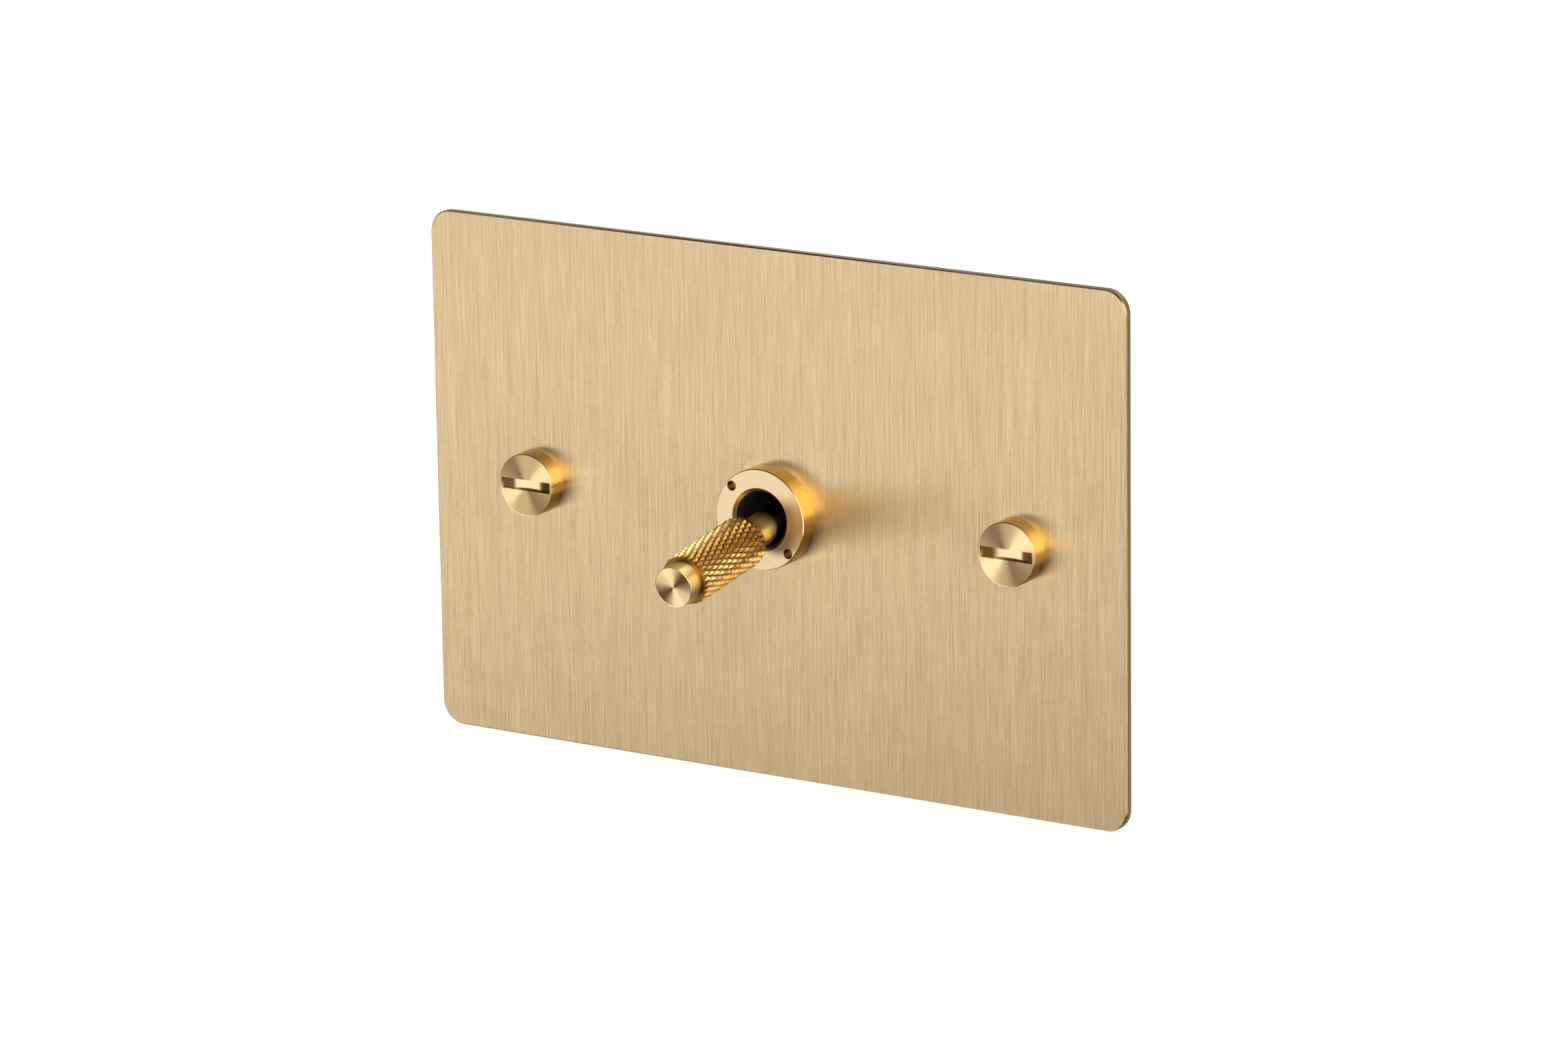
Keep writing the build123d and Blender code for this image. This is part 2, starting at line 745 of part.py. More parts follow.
# Earth screw
with BuildPart() as earth_screw:
    with BuildSketch(at_depth(earth_block_height + earth_head_height)):
        with Locations((earth_x, earth_z)):
            Circle(earth_head_diameter / 2)
    extrude(amount=earth_head_height)
    with BuildSketch(at_depth(earth_block_height)):
        with Locations((earth_x, earth_z)):
            Circle(earth_screw_diameter / 2)
    extrude(amount=earth_screw_reach)
    with BuildSketch(at_depth(earth_block_height + earth_head_height)):
        with Locations((earth_x, earth_z)):
            Rectangle(earth_head_diameter, earth_slot_width)
    extrude(amount=earth_slot_depth, mode=Mode.SUBTRACT)

pieces = {
    "faceplate": faceplate,
    "fixing_screws": fixing_screws,
    "ring_nut": ring_nut,
    "bushing": bushing,
    "lock_washer": lock_washer,
    "back_nut": back_nut,
    "pivot_pin": pivot_pin,
    "lever": lever,
    "toggle_handle": toggle_handle,
    "plunger": plunger,
    "plunger_spring": plunger_spring,
    "rocker": rocker,
    "rocker_contacts": rocker_contacts,
    "contact_saddle": contact_saddle,
    "saddle_rivet": saddle_rivet,
    "fixed_contacts": fixed_contacts,
    "housing": housing,
    "clamp_frame": clamp_frame,
    "upper_terminal": upper_terminal,
    "lower_terminal": lower_terminal,
    "common_terminal": common_terminal,
    "wire_clamps": wire_clamps,
    "terminal_screws": terminal_screws,
    "earth_terminal": earth_terminal,
    "earth_screw": earth_screw,
}

os.makedirs("parts", exist_ok=True)
for name, piece in pieces.items():
    piece.part.label = name
    export_step(piece.part, f"parts/{name}.step")
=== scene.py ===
import json
from math import atan2, cos, degrees, pi, radians, sin

import bpy
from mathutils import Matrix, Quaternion, Vector


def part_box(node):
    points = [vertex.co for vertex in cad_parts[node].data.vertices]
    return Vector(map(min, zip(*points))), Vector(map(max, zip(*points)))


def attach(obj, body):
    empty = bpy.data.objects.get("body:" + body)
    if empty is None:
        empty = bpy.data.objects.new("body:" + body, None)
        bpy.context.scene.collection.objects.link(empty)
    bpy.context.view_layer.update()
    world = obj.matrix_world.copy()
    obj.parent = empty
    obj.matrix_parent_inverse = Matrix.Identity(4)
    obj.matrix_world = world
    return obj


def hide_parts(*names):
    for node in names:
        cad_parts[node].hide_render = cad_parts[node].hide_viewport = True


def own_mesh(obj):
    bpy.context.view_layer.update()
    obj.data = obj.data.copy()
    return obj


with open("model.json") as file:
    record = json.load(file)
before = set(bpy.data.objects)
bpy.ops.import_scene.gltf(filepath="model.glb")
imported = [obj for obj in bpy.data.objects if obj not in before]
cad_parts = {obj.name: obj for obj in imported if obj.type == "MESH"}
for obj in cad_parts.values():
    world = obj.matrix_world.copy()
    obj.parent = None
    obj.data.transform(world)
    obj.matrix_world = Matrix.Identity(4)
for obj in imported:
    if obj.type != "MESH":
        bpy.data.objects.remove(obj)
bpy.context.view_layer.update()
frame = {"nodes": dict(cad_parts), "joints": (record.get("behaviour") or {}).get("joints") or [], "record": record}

nodes = frame["nodes"]
joints = {joint["name"]: joint for joint in frame["joints"]}

# Screw sizes in metres
plate_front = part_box("faceplate")[0].y
screw_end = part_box("fixing_screws")[1].y
screw_spacing = 0.0835
head_radius = 0.0048
head_height = 0.0029
head_front = plate_front - head_height
head_bevel = 0.0002
slot_length = 0.0087
slot_width = 0.00165
slot_depth = 0.0008
slot_bevel = 0.00004
neck_radius = 0.0014
neck_cone = 0.00035
thread_start = -0.00005
thread_radius = 0.00175
thread_root = 0.00142
thread_pitch = 0.0006
thread_point = 0.0007

# Thread form: flats and flanks in shares of the pitch, width left at the point, turns trimmed off both ends
thread_flat = 0.12
thread_flank = 0.32
point_share = 0.6
trimmed_turns = 3

# Handle sizes in metres, its start measured along the lever from the pivot
pivot = Vector(joints["toggle_tilt"]["pos_m"])
lever_axis = Vector(joints["plunger_slide"]["axis"])
lever_turn = radians(98)
grip_start = 0.015652
grip_radius = 0.004
grip_length = 0.0167
grip_end = grip_start + grip_length
knurl_count = 27
knurl_rows = 14
knurl_depth = 0.00043
knurl_flat = 0.00008
tip_radius = 0.0031
tip_length = 0.0027
tip_root = 0.0004
tip_bevel = 0.00012
faced_thickness = 0.0003
faced_proud = 0.000004

# Spring sizes in metres, and its start along the lever from the pivot
spring_radius = 0.0011
spring_wire = 0.0004
spring_turns = 5
spring_pitch = 0.0006236
spring_start = -0.006159

# Ring nut sizes in metres
spanner_hole_radius = 0.00075
spanner_holes = [(-0.004824, 0.004578), (0.004824, -0.004578)]

# Fineness, tolerances and smoothing angles of the meshes
round_steps = 128
cutter_steps = 192
thread_steps = 32
coil_steps = 40
wire_steps = 16
bevel_steps = 3
slot_edge_steps = 2
weld = 1e-7
level_slack = 1e-6
square_on = 0.9
sharp_angle = radians(50)
turned_angle = radians(35)
wound_angle = radians(40)
knurl_angle = radians(4)


# Modelling helpers

def clear_selection():
    """Leaves object mode with nothing selected."""
    if bpy.context.mode != "OBJECT":
        bpy.ops.object.mode_set(mode="OBJECT")
    bpy.ops.object.select_all(action="DESELECT")


def make_active(piece):
    """Selects one piece alone."""
    clear_selection()
    piece.select_set(True)
    bpy.context.view_layer.objects.active = piece


def settle(piece):
    """Puts a piece's place and turn into its mesh."""
    make_active(piece)
    bpy.ops.object.transform_apply(location=True, rotation=True, scale=True)


def scrap(piece):
    """Deletes a piece that has done its work."""
    make_active(piece)
    bpy.ops.object.delete()


def pick_faces(piece, wanted):
    """Enters edit mode with the faces selected that a test on centre and normal accepts."""
    make_active(piece)
    bpy.ops.object.mode_set(mode="EDIT")
    bpy.ops.mesh.select_mode(type="FACE")
    bpy.ops.mesh.select_all(action="DESELECT")
    bpy.ops.object.mode_set(mode="OBJECT")
    for face in piece.data.polygons:
        face.select = wanted(face.center, face.normal)
    bpy.ops.object.mode_set(mode="EDIT")


def pick_points(piece, wanted):
    """Enters edit mode with the vertices selected that a test on their place accepts."""
    make_active(piece)
    bpy.ops.object.mode_set(mode="EDIT")
    bpy.ops.mesh.select_mode(type="VERT")
    bpy.ops.mesh.select_all(action="DESELECT")
    bpy.ops.object.mode_set(mode="OBJECT")
    for point in piece.data.vertices:
        point.select = wanted(point.co)
    bpy.ops.object.mode_set(mode="EDIT")


def extrude(along, across=0):
    """Extrudes the selection along Z and across in X."""
    bpy.ops.mesh.extrude_region_move(TRANSFORM_OT_translate={"value": (across, 0, along)})


def widen(share):
    """Scales the selection about the Z axis. A share below 1 narrows it."""
    bpy.ops.transform.resize(value=(share, share, 1), center_override=(0, 0, 0))


def wind(profile, turns, pitch, steps):
    """Winds a profile about Z into a helix, and stays in edit mode with all of it selected."""
    make_active(profile)
    helix = profile.modifiers.new("Helix", "SCREW")
    helix.axis = "Z"
    helix.angle = 2 * pi
    helix.steps = steps
    helix.render_steps = steps
    helix.iterations = turns
    helix.screw_offset = pitch
    bpy.ops.object.modifier_apply(modifier=helix.name)
    bpy.ops.object.mode_set(mode="EDIT")
    bpy.ops.mesh.select_mode(type="VERT")
    bpy.ops.mesh.select_all(action="SELECT")
    bpy.ops.mesh.remove_doubles(threshold=weld)


def face_out(piece):
    """Merges doubled points and turns every face outwards."""
    make_active(piece)
    bpy.ops.object.mode_set(mode="EDIT")
    bpy.ops.mesh.select_all(action="SELECT")
    bpy.ops.mesh.remove_doubles(threshold=weld)
    bpy.ops.mesh.normals_make_consistent(inside=False)
    bpy.ops.object.mode_set(mode="OBJECT")


def shade(piece, angle):
    """Shades smooth across every edge flatter than an angle."""
    make_active(piece)
    bpy.ops.object.shade_smooth_by_angle(angle=angle)


def keep_flats(piece):
    """Keeps large faces flat in the shading beside their small bevels."""
    make_active(piece)
    weigh = piece.modifiers.new("Flats", "WEIGHTED_NORMAL")
    weigh.weight = 100
    weigh.keep_sharp = True
    bpy.ops.object.modifier_apply(modifier=weigh.name)


def copy_to(piece, name, x):
    """Copy with its own mesh, moved sideways in its mesh."""
    make_active(piece)
    bpy.ops.object.duplicate(linked=False)
    twin = bpy.context.active_object
    twin.name = name
    twin.location = (x, 0, 0)
    settle(twin)
    return twin


def seat_on_lever(piece, station):
    """Turns a piece made along Z onto the lever's axis, at a distance from the pivot."""
    clear_selection()
    piece.location = pivot + lever_axis * station
    piece.rotation_euler = (lever_turn, 0, 0)
    settle(piece)
    face_out(piece)


# New pieces

def cut_slot(head):
    """Sinks the coin slot with a disc cutter, so its floor is an arc, and breaks the sharp edges."""
    slot_reach = slot_length / 2
    cutter_radius = (slot_reach**2 + slot_depth**2) / (2 * slot_depth)
    clear_selection()
    bpy.ops.mesh.primitive_cylinder_add(
        vertices=cutter_steps, radius=cutter_radius, depth=slot_width,
        location=(0, head_front + slot_depth - cutter_radius, 0),
    )
    cutter = bpy.context.active_object
    settle(cutter)
    make_active(head)
    cut = head.modifiers.new("Slot", "BOOLEAN")
    cut.operation = "DIFFERENCE"
    cut.solver = "EXACT"
    cut.object = cutter
    bpy.ops.object.modifier_apply(modifier=cut.name)
    scrap(cutter)
    face_out(head)
    bevel = head.modifiers.new("Bevel", "BEVEL")
    bevel.width = slot_bevel
    bevel.segments = slot_edge_steps
    bevel.limit_method = "ANGLE"
    bevel.angle_limit = sharp_angle
    bpy.ops.object.modifier_apply(modifier=bevel.name)


def model_screw_head():
    """Round screw head with its coin slot, axis along Y, front towards -Y."""
    clear_selection()
    bpy.ops.mesh.primitive_cylinder_add(
        vertices=round_steps, radius=head_radius, depth=head_height,
        location=(0, plate_front - head_height / 2, 0), rotation=(pi / 2, 0, 0),
    )
    head = bpy.context.active_object
    settle(head)
    pick_faces(head, lambda centre, normal: normal.y < -square_on)
    bpy.ops.mesh.bevel(offset=head_bevel, segments=bevel_steps, affect="EDGES")
    cut_slot(head)
    shade(head, turned_angle)
    keep_flats(head)
    return head


def model_screw_thread():
    """Threaded shank, axis along Y, with the relieved neck that joins it to the head."""
    length = screw_end - thread_start
    turns = int((length - thread_point) / thread_pitch) + trimmed_turns
    rise = thread_radius - thread_root
    clear_selection()
    bpy.ops.mesh.primitive_plane_add(size=1)
    shank = bpy.context.active_object
    bpy.ops.object.mode_set(mode="EDIT")
    bpy.ops.mesh.select_mode(type="VERT")
    bpy.ops.mesh.select_all(action="SELECT")
    bpy.ops.mesh.merge(type="CENTER")
    bpy.ops.transform.translate(value=(thread_root, 0, 0))
    for across in (0, rise, 0, -rise, 0):
        share = thread_flank if across else thread_flat
        extrude(share * thread_pitch, across)
    wind(shank, turns, thread_pitch, thread_steps)
    bottom = trimmed_turns / 2 * thread_pitch
    top = bottom + length - thread_point
    for height, outwards in ((bottom, (0, 0, -1)), (top, (0, 0, 1))):
        bpy.ops.mesh.select_all(action="SELECT")
        bpy.ops.mesh.bisect(plane_co=(0, 0, height), plane_no=outwards, use_fill=True, clear_outer=True)
    pick_faces(shank, lambda centre, normal: centre.z > top - level_slack and abs(normal.z) > square_on)
    extrude(thread_point)
    widen(point_share)
    pick_faces(shank, lambda centre, normal: centre.z < bottom + level_slack and abs(normal.z) > square_on)
    extrude(-neck_cone)
    widen(neck_radius / thread_radius)
    neck_length = thread_start - neck_cone - plate_front
    extrude(-neck_length)
    clear_selection()
    shank.location = (0, thread_start - bottom, 0)
    shank.rotation_euler = (-pi / 2, 0, 0)
    settle(shank)
    face_out(shank)
    shade(shank, wound_angle)
    return shank


def model_knurled_grip():
    """Grip with diamond pyramids: rings of crests and hollows, half a step round from row to row."""
    row = grip_length / knurl_rows
    groove_radius = grip_radius - knurl_depth
    crest_share = grip_radius / groove_radius
    clear_selection()
    bpy.ops.mesh.primitive_circle_add(
        vertices=2 * knurl_count, radius=groove_radius, fill_type="NGON", rotation=(0, 0, pi / 2)
    )
    grip = bpy.context.active_object
    settle(grip)
    pick_faces(grip, lambda centre, normal: True)
    for level in range(knurl_rows):
        extrude(row)
        if level == 0:
            widen(crest_share)
    widen(1 / crest_share)

    def hollow(place):
        level = round(place.z / row)
        step = round(Vector((place.x, place.y)).angle_signed(Vector((1, 0)), 0) / (pi / knurl_count))
        return 0 < level < knurl_rows and (level + step) % 2 == 1

    pick_points(grip, hollow)
    widen(1 / crest_share)
    pick_faces(grip, lambda centre, normal: Vector((centre.x, centre.y)).length > grip_radius / 2)
    bpy.ops.mesh.quads_convert_to_tris(quad_method="SHORTEST_DIAGONAL", ngon_method="BEAUTY")
    pick_points(grip, lambda place: Vector((place.x, place.y)).length > grip_radius - knurl_depth / 2)
    bpy.ops.mesh.bevel(offset=knurl_flat, segments=1, affect="VERTICES")
    seat_on_lever(grip, grip_start)
    shade(grip, knurl_angle)
    grip.name = "knurled_grip"
    return grip


def model_turned_tip():
    """Plain turned end of the handle, up to its faced disc."""
    length = tip_length - faced_proud
    clear_selection()
    bpy.ops.mesh.primitive_cylinder_add(
        vertices=round_steps, radius=tip_radius, depth=length + tip_root,
        location=(0, 0, (length - tip_root) / 2),
    )
    tip = bpy.context.active_object
    settle(tip)
    pick_faces(tip, lambda centre, normal: normal.z > square_on)
    bpy.ops.mesh.bevel(offset=tip_bevel, segments=bevel_steps, affect="EDGES")
    seat_on_lever(tip, grip_end)
    shade(tip, turned_angle)
    keep_flats(tip)
    tip.name = "turned_tip"
    return tip


def model_faced_disc(name, radius, station):
    """Disc faced on the lathe, with its turning rings about its own centre."""
    clear_selection()
    bpy.ops.mesh.primitive_cylinder_add(
        vertices=round_steps, radius=radius, depth=faced_thickness, location=(0, 0, -faced_thickness / 2)
    )
    disc = bpy.context.active_object
    settle(disc)
    seat_on_lever(disc, station)
    disc.name = name
    return disc


def model_plunger_spring():
    """Coil of round wire in the lever's tail."""
    clear_selection()
    bpy.ops.mesh.primitive_circle_add(
        vertices=wire_steps, radius=spring_wire / 2, fill_type="NOTHING",
        location=(spring_radius, 0, 0), rotation=(pi / 2, 0, 0),
    )
    coil = bpy.context.active_object
    settle(coil)
    wind(coil, spring_turns, spring_pitch, coil_steps)
    bpy.ops.mesh.fill_holes(sides=0)
    seat_on_lever(coil, spring_start)
    shade(coil, wound_angle)
    coil.name = "pressed_spring"
    return coil


# Shader helpers

def math_node(tree, operation, first, second):
    """Math node whose inputs are sockets or numbers."""
    node = tree.nodes.new("ShaderNodeMath")
    node.operation = operation
    for slot, value in zip(node.inputs, (first, second)):
        if isinstance(value, (int, float)):
            slot.default_value = value
        else:
            tree.links.new(value, slot)
    return node.outputs[0]


def spread(tree, value, low, high, start=0.0, end=1.0):
    """Maps a value's range onto another."""
    node = tree.nodes.new("ShaderNodeMapRange")
    node.inputs["From Min"].default_value = start
    node.inputs["From Max"].default_value = end
    node.inputs["To Min"].default_value = low
    node.inputs["To Max"].default_value = high
    tree.links.new(value, node.inputs["Value"])
    return node.outputs["Result"]


def wander(tree, noise, middle, swing):
    """Value that a noise takes to both sides of a middle."""
    return spread(tree, noise, middle - swing, middle + swing)


def blend_colours(tree, factor, first, second):
    """Colour between two, by a factor. Each is a colour or a socket."""
    node = tree.nodes.new("ShaderNodeMix")
    node.data_type = "RGBA"
    for label, colour in (("A", first), ("B", second)):
        socket = next(s for s in node.inputs if s.name == label and s.type == "RGBA")
        if isinstance(colour, tuple):
            socket.default_value = (*colour, 1)
        else:
            tree.links.new(colour, socket)
    tree.links.new(factor, node.inputs["Factor"])
    return next(s for s in node.outputs if s.type == "RGBA")


def one_axis(tree, kind, axis):
    """One axis of a texture coordinate."""
    where = tree.nodes.new("ShaderNodeTexCoord")
    parts = tree.nodes.new("ShaderNodeSeparateXYZ")
    tree.links.new(where.outputs[kind], parts.inputs["Vector"])
    return parts.outputs[axis]


def surface_noise(tree, across, along, detail):
    """Noise on Object coordinates, with one scale in X and Y and another along Z."""
    where = tree.nodes.new("ShaderNodeTexCoord")
    mapping = tree.nodes.new("ShaderNodeMapping")
    mapping.inputs["Scale"].default_value = (across, across, along)
    noise = tree.nodes.new("ShaderNodeTexNoise")
    noise.inputs["Scale"].default_value = 1.0
    noise.inputs["Detail"].default_value = detail
    tree.links.new(where.outputs["Object"], mapping.inputs["Vector"])
    tree.links.new(mapping.outputs["Vector"], noise.inputs["Vector"])
    return noise.outputs["Fac"]


def off_axis(tree, point, line):
    """Distance of a surface point from a line through a point, in Object coordinates."""
    where = tree.nodes.new("ShaderNodeTexCoord")
    reach = tree.nodes.new("ShaderNodeVectorMath")
    reach.operation = "SUBTRACT"
    reach.inputs[1].default_value = point
    across = tree.nodes.new("ShaderNodeVectorMath")
    across.operation = "CROSS_PRODUCT"
    across.inputs[1].default_value = line
    size = tree.nodes.new("ShaderNodeVectorMath")
    size.operation = "LENGTH"
    tree.links.new(where.outputs["Object"], reach.inputs[0])
    tree.links.new(reach.outputs["Vector"], across.inputs[0])
    tree.links.new(across.outputs["Vector"], size.inputs[0])
    return size.outputs["Value"]


def raise_bump(tree, shader, height, strength, distance):
    """Fine relief from a height."""
    bump = tree.nodes.new("ShaderNodeBump")
    bump.inputs["Strength"].default_value = strength
    bump.inputs["Distance"].default_value = distance
    tree.links.new(height, bump.inputs["Height"])
    tree.links.new(bump.outputs["Normal"], shader.inputs["Normal"])


# Brush lines: scale across the lines, scale along them, share of the whole
brush_layers = (
    (12000, 110, 0.37),
    (9000, 420, 0.19),
    (8000, 2600, 0.16),
    (6500, 90, 0.22),
    (2500, 60, 0.03),
    (200, 8, 0.03),
)
brush_middle = 0.5

# Range of a normal's depth over which a rim becomes a front
front_range = (0.45, 0.95)


# Shared effects

def new_group(name, inputs, output):
    """Empty node group with its sockets. Returns the group and its in and out nodes."""
    group = bpy.data.node_groups.new(name, "ShaderNodeTree")
    for label, value in inputs.items():
        socket = group.interface.new_socket(name=label, in_out="INPUT", socket_type="NodeSocketFloat")
        socket.default_value = value
    group.interface.new_socket(name=output, in_out="OUTPUT", socket_type="NodeSocketFloat")
    return group, group.nodes.new("NodeGroupInput"), group.nodes.new("NodeGroupOutput")


def make_brushed_grain():
    """Vertical brush lines: hair-fine, fine and broader layers, and long faint bands."""
    group, given, out = new_group("Brushed grain", {"Depth": 1.0}, "Line")
    total = 0.0
    for across, along, share in brush_layers:
        layer = surface_noise(group, across, along, detail=1.0)
        total = math_node(group, "ADD", math_node(group, "MULTIPLY", layer, share), total)
    from_middle = math_node(group, "SUBTRACT", total, brush_middle)
    swing = math_node(group, "MULTIPLY", from_middle, given.outputs["Depth"])
    group.links.new(math_node(group, "ADD", swing, brush_middle), out.inputs["Line"])
    return group


def make_handling():
    """Soft cloudy marks from handling and cleaning."""
    group, given, out = new_group("Handling marks", {"Size": 60.0}, "Mark")
    where = group.nodes.new("ShaderNodeTexCoord")
    noise = group.nodes.new("ShaderNodeTexNoise")
    noise.inputs["Detail"].default_value = 4.0
    noise.inputs["Roughness"].default_value = 0.62
    group.links.new(where.outputs["Object"], noise.inputs["Vector"])
    group.links.new(given.outputs["Size"], noise.inputs["Scale"])
    group.links.new(noise.outputs["Fac"], out.inputs["Mark"])
    return group


def make_front_facing():
    """1 on faces square to the wall, 0 on a piece's rim."""
    group, _, out = new_group("Front facing", {}, "Front")
    depth = math_node(group, "ABSOLUTE", one_axis(group, "Normal", "Y"), 0.0)
    group.links.new(spread(group, depth, 0.0, 1.0, *front_range), out.inputs["Front"])
    return group


brushed_grain = make_brushed_grain()
handling_marks = make_handling()
front_facing = make_front_facing()

# Colours of the brass, pairs from the darker to the lighter tone
plate_tones = ((0.66, 0.508, 0.294), (0.785, 0.612, 0.366))
plate_edge = (0.25, 0.155, 0.055)
ring_tones = ((0.76, 0.60, 0.37), (0.84, 0.67, 0.43))
ring_rim = (0.82, 0.52, 0.14)
# Painted shade inside the spanner holes
spanner_hole_shade = (0.26, 0.14, 0.035)
crest_tones = ((0.93, 0.65, 0.25), (0.97, 0.71, 0.30))
# Painted shade in the knurl's grooves
groove_shade = (0.31, 0.16, 0.035)
slot_tones = ((0.72, 0.54, 0.30), (0.80, 0.62, 0.36))
# Painted shade at the ends of the slot
slot_end_shade = (0.24, 0.14, 0.045)
# Painted shade, black deep in the ring's mouth on the stem
stem_mouth_shade = (0.02, 0.014, 0.006)

# Ranges of grain and marks that run from the darker to the lighter tone
grain_range = (0.35, 0.65)
mark_range = (0.3, 0.7)

# Roughness from the plate's dark to its light lines, rim to face, groove to crest, and slot middle to ends
plate_roughness = (0.39, 0.33)
ring_roughness = (0.18, 0.32)
knurl_roughness = (0.32, 0.18)
slot_roughness = (0.2, 0.34)

# Where painted shade darkens the brass: hole edge in hole radii, crest foot in knurl depths, slot ends and mouth
# in metres
hole_edge = 1.04
crest_foot = 0.4
slot_shade_span = (0.0021, 0.0026)
mouth_shade_depth = (-0.0056, -0.0032)

# Turn of the lathe marks' rough direction from the circumference, in whole turns
round_marks = 0.25
tip_marks = 0.09


# Finishes

def new_finish(name):
    """Material with one Principled shader. Returns the material, its tree and the shader."""
    finish = bpy.data.materials.new(name)
    finish.use_nodes = True
    return finish, finish.node_tree, finish.node_tree.nodes["Principled BSDF"]


def place_group(tree, group, **values):
    """Puts a shared effect into a material with its own values."""
    node = tree.nodes.new("ShaderNodeGroup")
    node.node_tree = group
    for label, value in values.items():
        node.inputs[label].default_value = value
    return node.outputs[0]


def cloud_tones(tree, marks, tones):
    """Colour that the handling marks cloud between two tones."""
    return blend_colours(tree, spread(tree, marks, 0, 1, *mark_range), *tones)


def brushed_plate_finish():
    """Vertically brushed brass with a darker rim."""
    finish, tree, shader = new_finish("brushed_plate_brass")
    grain = place_group(tree, brushed_grain, Depth=1.6)
    marks = place_group(tree, handling_marks, Size=28.0)
    front = place_group(tree, front_facing)
    brushed = blend_colours(tree, spread(tree, grain, 0, 1, *grain_range), *plate_tones)
    tree.links.new(blend_colours(tree, front, plate_edge, brushed), shader.inputs["Base Color"])
    lines = spread(tree, grain, *plate_roughness, *grain_range)
    rough = math_node(tree, "ADD", lines, wander(tree, marks, 0.0, swing=0.02))
    tree.links.new(rough, shader.inputs["Roughness"])
    raise_bump(tree, shader, grain, strength=0.15, distance=0.00002)
    shader.inputs["Metallic"].default_value = 1.0
    shader.inputs["Anisotropic"].default_value = 0.92
    return finish


def ring_finish():
    """Satin face with a finer turned rim, and painted shade in the two spanner holes."""
    finish, tree, shader = new_finish("satin_ring_brass")
    marks = place_group(tree, handling_marks, Size=120.0)
    front = place_group(tree, front_facing)
    fine = surface_noise(tree, across=5200, along=5200, detail=2.0)
    face = blend_colours(tree, spread(tree, fine, 0, 1, *grain_range), *ring_tones)
    bright = blend_colours(tree, front, ring_rim, face)
    nearest = 1.0
    for x, z in spanner_holes:
        nearest = math_node(tree, "MINIMUM", off_axis(tree, (x, 0, z), (0, 1, 0)), nearest)
    # Painted shade: the holes and a thin ring round them take the dark colour
    outside = spread(tree, nearest, 0, 1, spanner_hole_radius, hole_edge * spanner_hole_radius)
    tree.links.new(blend_colours(tree, outside, spanner_hole_shade, bright), shader.inputs["Base Color"])
    sides = spread(tree, front, *ring_roughness)
    rough = math_node(tree, "ADD", sides, wander(tree, marks, 0.0, swing=0.03))
    tree.links.new(rough, shader.inputs["Roughness"])
    shader.inputs["Metallic"].default_value = 1.0
    return finish


def turned_finish(name, tones, roughness, rotation=round_marks, shade_range=None):
    """Brass with fine lathe marks about the piece's own centre. It can take painted shade that darkens it to black
    over a range of depth.
    """
    finish, tree, shader = new_finish(name)
    marks = place_group(tree, handling_marks, Size=160.0)
    colour = cloud_tones(tree, marks, tones)
    if shade_range:
        # Painted shade: the colour goes black deeper in the mouth
        deep = spread(tree, one_axis(tree, "Object", "Y"), 0, 1, *shade_range)
        colour = blend_colours(tree, deep, colour, stem_mouth_shade)
    tree.links.new(colour, shader.inputs["Base Color"])
    tree.links.new(wander(tree, marks, roughness, swing=0.03), shader.inputs["Roughness"])
    shader.inputs["Metallic"].default_value = 1.0
    shader.inputs["Anisotropic"].default_value = 1.0
    shader.inputs["Anisotropic Rotation"].default_value = rotation
    tangent = tree.nodes.new("ShaderNodeTangent")
    tangent.direction_type = "RADIAL"
    tangent.axis = "Y"
    tree.links.new(tangent.outputs["Tangent"], shader.inputs["Tangent"])
    return finish


def knurl_finish():
    """Rolled knurl: bright pyramids, with painted shade darkening them into the grooves between them."""
    finish, tree, shader = new_finish("knurl_brass")
    marks = place_group(tree, handling_marks, Size=300.0)
    reach = off_axis(tree, tuple(pivot), tuple(lever_axis))
    height = spread(tree, reach, 0, 1, grip_radius - knurl_depth, grip_radius - crest_foot * knurl_depth)
    crest = cloud_tones(tree, marks, crest_tones)
    # Painted shade: the colour darkens from the crests into the grooves
    tree.links.new(blend_colours(tree, height, groove_shade, crest), shader.inputs["Base Color"])
    sides = spread(tree, height, *knurl_roughness)
    rough = math_node(tree, "ADD", sides, wander(tree, marks, 0.0, swing=0.03))
    tree.links.new(rough, shader.inputs["Roughness"])
    shader.inputs["Metallic"].default_value = 1.0
    return finish


def slot_finish():
    """Slot floor bright in the middle, with painted shade towards both ends."""
    finish, tree, shader = new_finish("slot_brass")
    marks = place_group(tree, handling_marks, Size=200.0)
    sideways = math_node(tree, "ABSOLUTE", one_axis(tree, "Object", "X"), 0.0)
    along = math_node(tree, "ABSOLUTE", math_node(tree, "SUBTRACT", sideways, screw_spacing / 2), 0.0)
    # Painted shade: the floor darkens towards both ends of the slot
    ends = spread(tree, along, 0, 1, *slot_shade_span)
    bright = cloud_tones(tree, marks, slot_tones)
    tree.links.new(blend_colours(tree, ends, bright, slot_end_shade), shader.inputs["Base Color"])
    tree.links.new(spread(tree, ends, *slot_roughness), shader.inputs["Roughness"])
    shader.inputs["Metallic"].default_value = 1.0
    return finish


def satin_finish(name, tones, roughness, metallic=1.0, relief=0.0):
    """Even satin metal with faint clouding."""
    finish, tree, shader = new_finish(name)
    marks = place_group(tree, handling_marks, Size=120.0)
    fine = surface_noise(tree, across=4200, along=4200, detail=2.0)
    tree.links.new(cloud_tones(tree, marks, tones), shader.inputs["Base Color"])
    clouds = wander(tree, marks, roughness, swing=0.04)
    rough = math_node(tree, "ADD", clouds, wander(tree, fine, 0.0, swing=0.02))
    tree.links.new(rough, shader.inputs["Roughness"])
    if relief:
        raise_bump(tree, shader, fine, strength=relief, distance=0.00002)
    shader.inputs["Metallic"].default_value = metallic
    return finish


